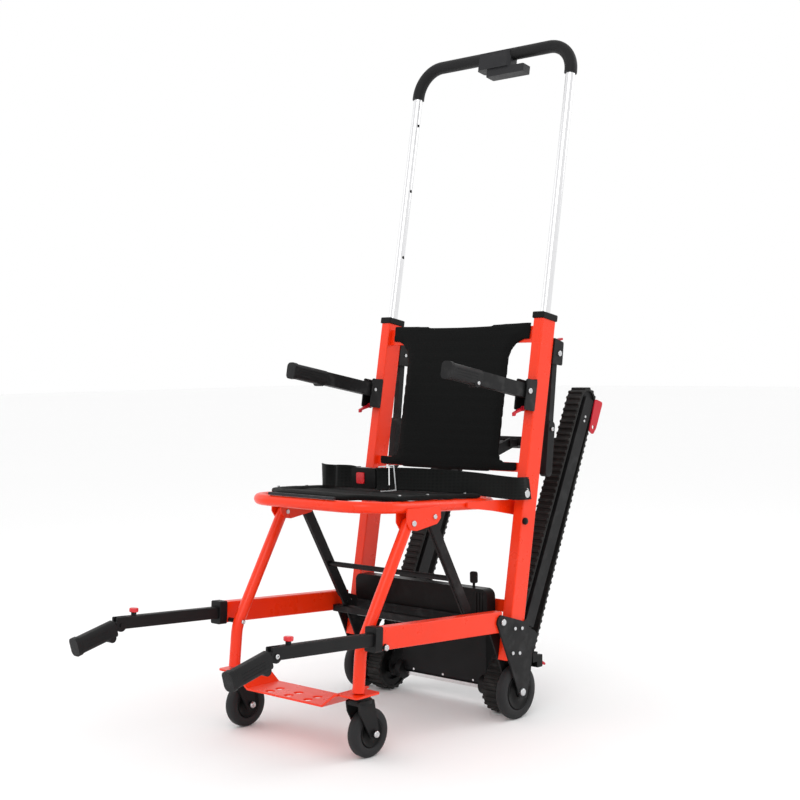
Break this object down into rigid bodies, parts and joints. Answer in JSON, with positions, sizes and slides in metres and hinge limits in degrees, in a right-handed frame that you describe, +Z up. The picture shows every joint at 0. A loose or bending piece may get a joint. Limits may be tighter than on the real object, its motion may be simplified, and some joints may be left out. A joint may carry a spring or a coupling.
{
  "type": "stair chair",
  "caption": "Folding powered stair chair: red steel frame, black sling seat, fold-up arms, telescoping rear and front handles, rubber belt tracks and wheels.",
  "frame": {"origin": "on the floor, under the middle of the chair's overall box", "axes": "+Z up, the seated person faces -Y, +X is the seated person's left"},
  "size_m": [0.5122, 1.2242, 1.5373],
  "materials": {
    "frame_red": "bright orange-red powder coat",
    "accent_red": "crimson",
    "black_coat": "satin black powder coat",
    "black_plastic": "textured black plastic",
    "grey_plastic": "dark grey plastic",
    "red_plastic": "red plastic",
    "aluminium_tube": "drawn tube",
    "zinc": "zinc plated",
    "tyre_rubber": "dark grey tyre",
    "belt_rubber": "ribbed rubber belt",
    "grip_rubber": "soft grip",
    "black_fabric": "coated black fabric",
    "webbing": "woven polyester webbing"
  },
  "bodies": {
    "chair_frame": {"posts": "frame_red", "post_caps": "black_plastic", "frame_crossmembers": "frame_red", "backrest": "black_fabric", "rear_plates": "black_coat", "frame_fasteners": "zinc", "armrest_brackets": "black_coat", "brace_brackets": "black_coat", "battery_case": "black_plastic", "battery_tray": "black_coat", "drive_housing": "black_coat", "drive_strip": "aluminium_tube", "lap_belt": "webbing", "buckle": "black_plastic", "belt_adjuster": "zinc", "release_block": "black_plastic"},
    "handle": {"handle_frame": "aluminium_tube", "handle_grip": "grip_rubber", "control_housing": "grey_plastic"},
    "control_switch": {"control_rocker": "black_plastic"},
    "seat": {"seat_frame": "frame_red", "seat_pad": "black_fabric", "seat_bar": "grey_plastic", "seat_bolts": "zinc"},
    "rails": {"side_rails": "frame_red", "rail_fittings": "black_coat"},
    "legs": {"front_legs": "frame_red", "footplate": "frame_red"},
    "upper_strut_pair": {"upper_struts": "black_coat"},
    "lower_strut_pair": {"lower_struts": "black_coat"},
    "tracks": {"track_frames": "black_coat", "track_belts": "belt_rubber", "track_guards": "accent_red", "track_crossbar": "black_coat"},
    "sprockets": {"track_sprockets": "black_plastic"},
    "stay": {"track_stay": "black_coat"},
    "brace_release": {"brace_levers": "accent_red"},
    "track_release": {"release_lever": "accent_red"},
    "key": {"ignition_key": "black_plastic"},
    "belt_button": {"buckle_button": "red_plastic"},
    "armrest_left": {"armrest_tube_left": "black_coat", "armrest_grip_left": "grip_rubber"},
    "armrest_release_left": {"armrest_lever_left": "accent_red"},
    "brace_left": {"brace_left": "black_coat"},
    "rear_wheel_left": {"rear_wheel_left": "tyre_rubber"},
    "caster_swivel_left": {"caster_fork_left": "black_coat"},
    "caster_wheel_left": {"caster_wheel_left": "tyre_rubber"},
    "lift_handle_left": {"lift_tube_left": "black_coat"},
    "lift_clamp_left": {"lift_knob_left": "red_plastic"},
    "lift_grip_left": {"lift_grip_left": "grip_rubber"},
    "armrest_right": {"armrest_tube_right": "black_coat", "armrest_grip_right": "grip_rubber"},
    "armrest_release_right": {"armrest_lever_right": "accent_red"},
    "brace_right": {"brace_right": "black_coat"},
    "rear_wheel_right": {"rear_wheel_right": "tyre_rubber"},
    "caster_swivel_right": {"caster_fork_right": "black_coat"},
    "caster_wheel_right": {"caster_wheel_right": "tyre_rubber"},
    "lift_handle_right": {"lift_tube_right": "black_coat"},
    "lift_clamp_right": {"lift_knob_right": "red_plastic"},
    "lift_grip_right": {"lift_grip_right": "grip_rubber"}
  },
  "joints": [
    {"name": "handle_slide", "type": "slide", "parent": "chair_frame", "child": "handle", "axis": [0, -0.1858, -0.9826], "range_m": [0, 0.507]},
    {"name": "control_rock", "type": "hinge", "parent": "handle", "child": "control_switch", "pos_m": [0.048, 0.46642, 1.4779], "axis": [1, 0, 0], "range_deg": [-6, 6], "stiffness_Nm_per_rad": 0.05},
    {"name": "seat_fold", "type": "hinge", "parent": "chair_frame", "child": "seat", "pos_m": [0, 0.29262, 0.4548], "axis": [-1, 0, 0], "range_deg": [0, 43.5], "deforming": ["lap_belt", "seat_pad"]},
    {"name": "rails_fold", "type": "hinge", "parent": "chair_frame", "child": "rails", "pos_m": [0, 0.15752, 0.226], "axis": [-1, 0, 0], "range_deg": [0, 43.5]},
    {"name": "legs_fold", "type": "hinge", "parent": "rails", "child": "legs", "pos_m": [0, -0.21398, 0.2314], "axis": [-1, 0, 0], "range_deg": [-43.5, 0]},
    {"name": "upper_strut_fold", "type": "hinge", "parent": "seat", "child": "upper_strut_pair", "pos_m": [0, -0.01248, 0.4685], "axis": [-1, 0, 0], "range_deg": [-21.75, 0]},
    {"name": "lower_strut_fold", "type": "hinge", "parent": "rails", "child": "lower_strut_pair", "pos_m": [0, 0.11812, 0.232], "axis": [-1, 0, 0], "range_deg": [-21.75, 0]},
    {"name": "tracks_fold", "type": "hinge", "parent": "chair_frame", "child": "tracks", "pos_m": [0, 0.25052, 0.055], "axis": [1, 0, 0], "range_deg": [0, 15.3]},
    {"name": "stay_swing", "type": "hinge", "parent": "tracks", "child": "stay", "pos_m": [0, 0.49152, 0.59], "axis": [1, 0, 0], "range_deg": [0, 48]},
    {"name": "sprocket_spin", "type": "hinge", "parent": "chair_frame", "child": "sprockets", "pos_m": [0, 0.25052, 0.055], "axis": [1, 0, 0], "continuous": true},
    {"name": "brace_release_press", "type": "hinge", "parent": "chair_frame", "child": "brace_release", "pos_m": [0, 0.37852, 0.8363], "axis": [-1, 0, 0], "range_deg": [0, 10], "stiffness_Nm_per_rad": 0.3},
    {"name": "track_release_lift", "type": "hinge", "parent": "chair_frame", "child": "track_release", "pos_m": [0.233, 0.29952, 0.116], "axis": [1, 0, 0], "range_deg": [0, 10], "stiffness_Nm_per_rad": 0.3},
    {"name": "key_turn", "type": "hinge", "parent": "chair_frame", "child": "key", "pos_m": [0.152, 0.17952, 0.292], "axis": [0, 0, 1], "range_deg": [0, 90]},
    {"name": "belt_button_press", "type": "slide", "parent": "chair_frame", "child": "belt_button", "axis": [0, 1, 0], "range_m": [0, 0.003], "stiffness_N_per_m": 600},
    {"name": "armrest_fold_left", "type": "hinge", "parent": "chair_frame", "child": "armrest_left", "pos_m": [0.234, 0.26152, 0.725], "axis": [-1, 0, 0], "range_deg": [0, 90]},
    {"name": "armrest_release_pull_left", "type": "hinge", "parent": "chair_frame", "child": "armrest_release_left", "pos_m": [0.234, 0.25952, 0.687], "axis": [-1, 0, 0], "range_deg": [0, 12], "stiffness_Nm_per_rad": 0.3},
    {"name": "brace_swing_left", "type": "hinge", "parent": "chair_frame", "child": "brace_left", "pos_m": [0.234, 0.37352, 0.807], "axis": [1, 0, 0], "range_deg": [-2, 65]},
    {"name": "rear_wheel_spin_left", "type": "hinge", "parent": "chair_frame", "child": "rear_wheel_left", "pos_m": [0.2329, 0.22312, 0.0617], "axis": [1, 0, 0], "continuous": true},
    {"name": "caster_swivel_left", "type": "hinge", "parent": "legs", "child": "caster_swivel_left", "pos_m": [0.1848, -0.22348, 0.128], "axis": [0, 0, 1], "continuous": true},
    {"name": "caster_spin_left", "type": "hinge", "parent": "caster_swivel_left", "child": "caster_wheel_left", "pos_m": [0.1848, -0.20248, 0.05], "axis": [1, 0, 0], "continuous": true},
    {"name": "lift_slide_left", "type": "slide", "parent": "rails", "child": "lift_handle_left", "axis": [0, 0.9981, -0.061], "range_m": [0, 0.205]},
    {"name": "lift_clamp_turn_left", "type": "hinge", "parent": "lift_handle_left", "child": "lift_clamp_left", "pos_m": [0.2329, -0.46065, 0.28639], "axis": [0, 0.061, 0.9981], "range_deg": [0, 90]},
    {"name": "lift_grip_tilt_left", "type": "hinge", "parent": "lift_handle_left", "child": "lift_grip_left", "pos_m": [0.2329, -0.49928, 0.2608], "axis": [1, 0, 0], "range_deg": [-14, 50]},
    {"name": "armrest_fold_right", "type": "hinge", "parent": "chair_frame", "child": "armrest_right", "pos_m": [-0.234, 0.26152, 0.725], "axis": [-1, 0, 0], "range_deg": [0, 90]},
    {"name": "armrest_release_pull_right", "type": "hinge", "parent": "chair_frame", "child": "armrest_release_right", "pos_m": [-0.234, 0.25952, 0.687], "axis": [-1, 0, 0], "range_deg": [0, 12], "stiffness_Nm_per_rad": 0.3},
    {"name": "brace_swing_right", "type": "hinge", "parent": "chair_frame", "child": "brace_right", "pos_m": [-0.234, 0.37352, 0.807], "axis": [1, 0, 0], "range_deg": [-2, 65]},
    {"name": "rear_wheel_spin_right", "type": "hinge", "parent": "chair_frame", "child": "rear_wheel_right", "pos_m": [-0.2329, 0.22312, 0.0617], "axis": [1, 0, 0], "continuous": true},
    {"name": "caster_swivel_right", "type": "hinge", "parent": "legs", "child": "caster_swivel_right", "pos_m": [-0.1848, -0.22348, 0.128], "axis": [0, 0, 1], "continuous": true},
    {"name": "caster_spin_right", "type": "hinge", "parent": "caster_swivel_right", "child": "caster_wheel_right", "pos_m": [-0.1848, -0.20248, 0.05], "axis": [1, 0, 0], "continuous": true},
    {"name": "lift_slide_right", "type": "slide", "parent": "rails", "child": "lift_handle_right", "axis": [0, 0.9981, -0.061], "range_m": [0, 0.205]},
    {"name": "lift_clamp_turn_right", "type": "hinge", "parent": "lift_handle_right", "child": "lift_clamp_right", "pos_m": [-0.2329, -0.46065, 0.28639], "axis": [0, 0.061, 0.9981], "range_deg": [0, 90]},
    {"name": "lift_grip_tilt_right", "type": "hinge", "parent": "lift_handle_right", "child": "lift_grip_right", "pos_m": [-0.2329, -0.49928, 0.2608], "axis": [1, 0, 0], "range_deg": [-14, 50]}
  ],
  "couplings": [
    {"joint": "rails_fold", "follows": "seat_fold", "ratio": 1},
    {"joint": "legs_fold", "follows": "seat_fold", "ratio": -1},
    {"joint": "upper_strut_fold", "follows": "seat_fold", "ratio": -0.5},
    {"joint": "lower_strut_fold", "follows": "seat_fold", "ratio": -0.5},
    {"joint": "stay_swing", "follows": "tracks_fold", "ratio": 3.1368}
  ]
}
